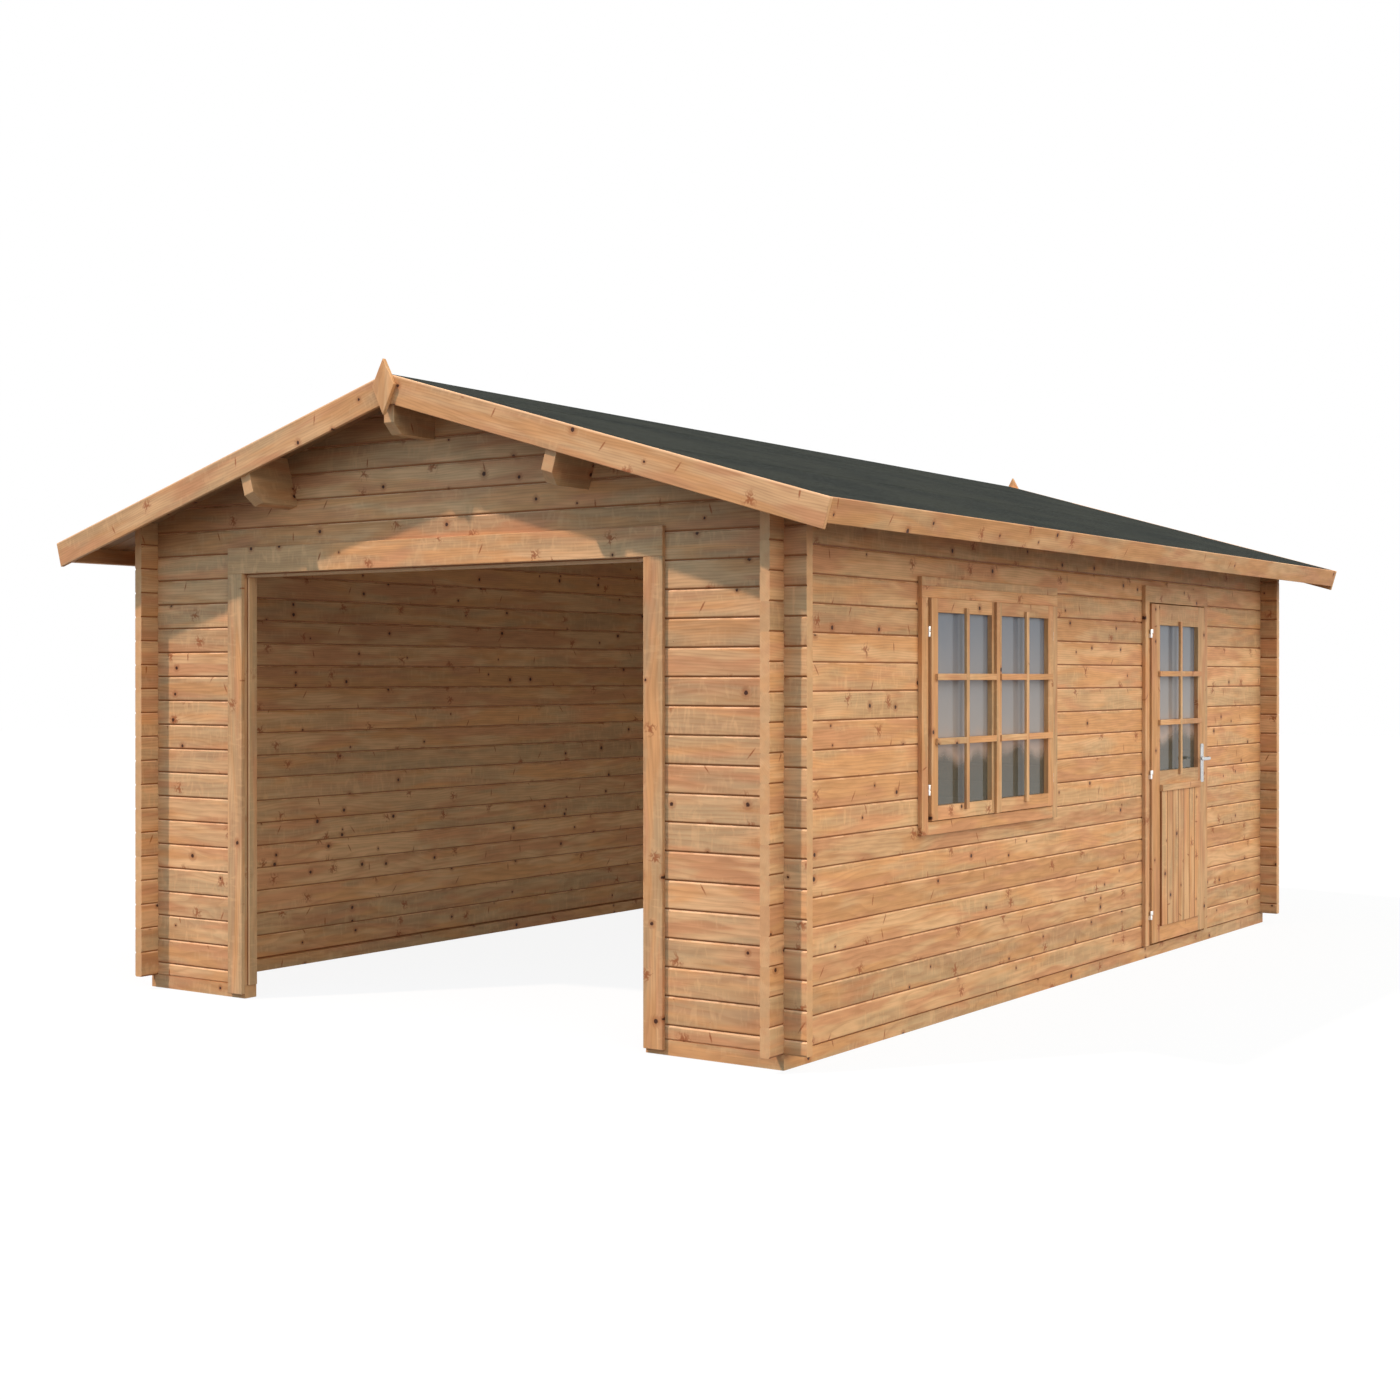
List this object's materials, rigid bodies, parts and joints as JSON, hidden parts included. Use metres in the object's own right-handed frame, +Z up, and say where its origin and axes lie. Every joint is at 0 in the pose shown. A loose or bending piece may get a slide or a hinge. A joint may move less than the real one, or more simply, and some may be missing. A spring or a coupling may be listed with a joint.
{
  "type": "log garage",
  "caption": "Free-standing wooden log garage with a felted gable roof, an open wide doorway in the front gable, and a glazed side door and casement window in one long wall.",
  "frame": {"origin": "on the ground at the middle of the outside box", "axes": "+X towards the long wall with the window and side door, +Y from the front gable with the wide doorway to the back, +Z up"},
  "size_m": [4.311, 6.04, 2.8147],
  "materials": {
    "log_timber": "planed softwood logs, oiled warm tan with knots",
    "foundation_timber": "planed softwood beam",
    "beam_timber": "planed softwood purlins",
    "roof_timber": "planed softwood roof boards",
    "trim_timber": "planed softwood boards",
    "joinery_timber": "planed softwood joinery",
    "roof_felt": "mineral-surfaced bitumen felt, dark green-grey",
    "window_glass": "clear glass",
    "hinge_metal": "light zinc-coated barrel hinges",
    "lock_metal": "satin aluminium plates and levers"
  },
  "bodies": {
    "garage": {"foundation_left": "foundation_timber", "foundation_right": "foundation_timber", "foundation_back": "foundation_timber", "foundation_front": "foundation_timber", "left_wall_logs_a": "log_timber", "left_wall_logs_b": "log_timber", "right_wall_logs_a": "log_timber", "right_wall_logs_b": "log_timber", "front_wall_logs_a": "log_timber", "front_wall_logs_b": "log_timber", "back_wall_logs_a": "log_timber", "back_wall_logs_b": "log_timber", "ridge_purlin": "beam_timber", "side_purlins": "beam_timber", "roof_boards_left": "roof_timber", "roof_boards_right": "roof_timber", "roof_felt_left": "roof_felt", "roof_felt_right": "roof_felt", "barge_boards_left": "trim_timber", "barge_boards_right": "trim_timber", "eave_fascias": "trim_timber", "gable_finials": "trim_timber", "garage_jambs": "trim_timber", "garage_head_lining": "trim_timber", "garage_side_casings": "trim_timber", "garage_head_casing": "trim_timber", "window_frame": "joinery_timber", "window_casing": "joinery_timber", "window_sash_front": "joinery_timber", "window_sash_rear": "joinery_timber", "window_glass": "window_glass", "window_bars": "joinery_timber", "window_hinges": "hinge_metal", "window_meeting_strip": "joinery_timber", "door_frame": "joinery_timber", "door_casing": "joinery_timber", "door_hinge_fixed": "hinge_metal"},
    "side_door": {"door_leaf": "joinery_timber", "door_glass": "window_glass", "door_bars": "joinery_timber", "door_panel": "joinery_timber", "door_batten": "joinery_timber", "door_hinge_moving": "hinge_metal", "door_lock_plates": "lock_metal"},
    "door_lever": {"door_levers": "lock_metal"}
  },
  "joints": [
    {"name": "side_door_hinge", "type": "hinge", "parent": "garage", "child": "side_door", "pos_m": [1.82, 0.8615, 0.97], "axis": [0, 0, -1], "range_deg": [0, 110]},
    {"name": "door_lever_turn", "type": "hinge", "parent": "side_door", "child": "door_lever", "pos_m": [1.82, 1.6065, 1.033], "axis": [1, 0, 0], "range_deg": [0, 40], "stiffness_Nm_per_rad": 1.5, "springref_deg": -20.05}
  ]
}
